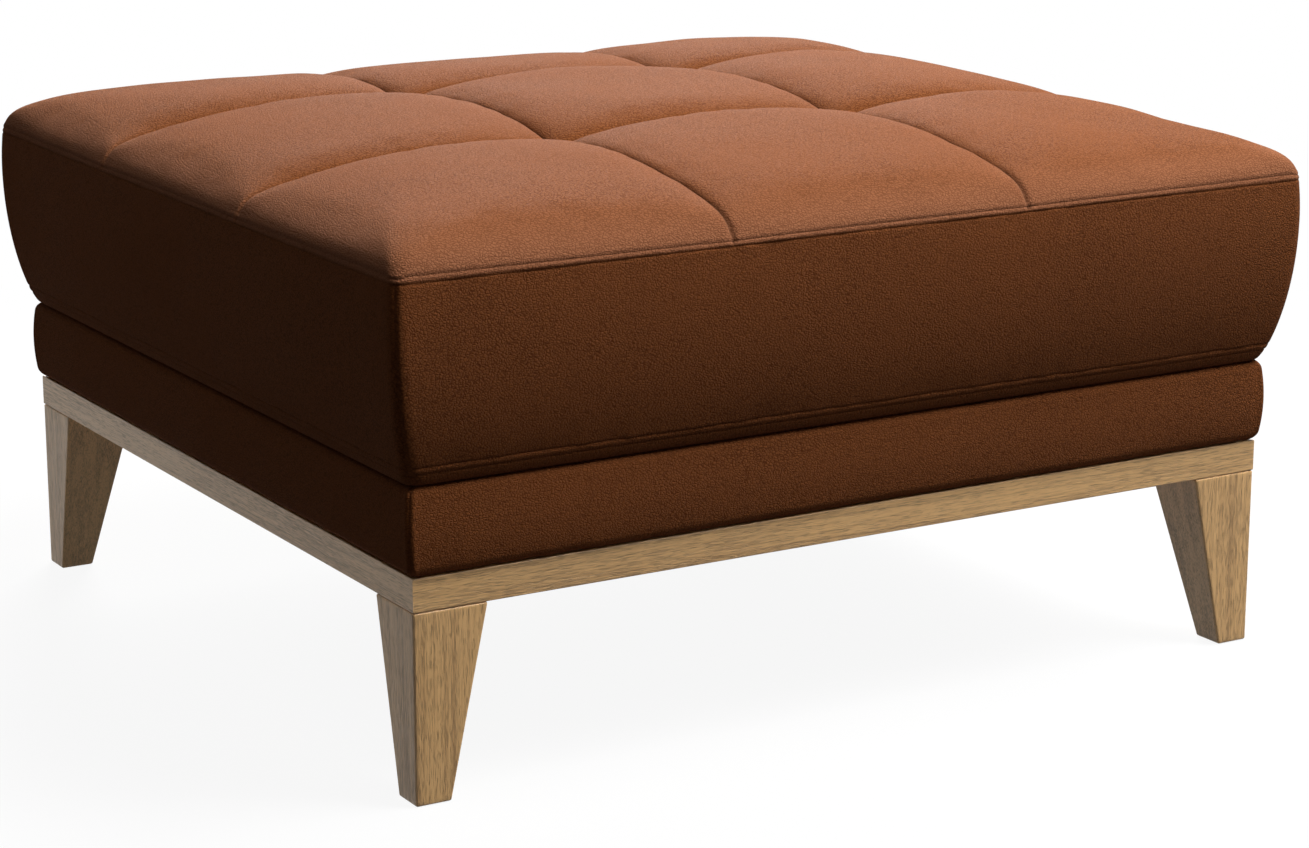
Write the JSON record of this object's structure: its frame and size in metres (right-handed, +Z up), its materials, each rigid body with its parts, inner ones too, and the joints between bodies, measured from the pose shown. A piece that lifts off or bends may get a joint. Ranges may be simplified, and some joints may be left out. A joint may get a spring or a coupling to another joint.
{
  "type": "footstool",
  "caption": "Low square footstool with a quilted leather cushion on a padded box, on a mitred oak plinth with tapered legs.",
  "frame": {"origin": "on the floor, under the middle of the stool", "axes": "+X towards the stool's right side, its longer way; +Y towards the back; +Z up"},
  "size_m": [0.8, 0.755, 0.4395],
  "materials": {
    "oak": "oiled oak, open pores, satin",
    "frame_wood": "planed softwood, bare",
    "leather": "cognac brown leather, fine pebble grain, soft sheen",
    "foam": "open-cell foam, matt",
    "wadding": "polyester wadding, matt",
    "black_cloth": "non-woven upholstery cloth, matt",
    "webbing": "woven elastic webbing, matt",
    "screw": "zinc-plated steel",
    "glide": "moulded nylon, matt"
  },
  "bodies": {
    "root": {"rail_front": "oak", "rail_right": "oak", "rail_back": "oak", "rail_left": "oak", "leg_front_left": "oak", "leg_front_right": "oak", "leg_back_left": "oak", "leg_back_right": "oak", "leg_glides": "glide", "leg_screws": "screw", "mitre_dowels": "frame_wood", "plinth_screws": "screw", "box_rail_front": "frame_wood", "box_rail_right": "frame_wood", "box_rail_back": "frame_wood", "box_rail_left": "frame_wood", "box_stretcher": "frame_wood", "box_corner_blocks": "frame_wood", "box_screws": "screw", "dust_cover": "black_cloth", "webbing_crosswise": "webbing", "webbing_lengthwise": "webbing", "deck_cloth": "black_cloth", "band_padding_front": "foam", "band_padding_right": "foam", "band_padding_back": "foam", "band_padding_left": "foam", "band_cover_front": "leather", "band_cover_right": "leather", "band_cover_back": "leather", "band_cover_left": "leather", "cushion_base": "leather", "foam_core": "foam", "quilt_wadding": "wadding", "quilted_top": "leather", "boxing_front": "leather", "boxing_right": "leather", "boxing_back": "leather", "boxing_left": "leather"}
  },
  "joints": []
}
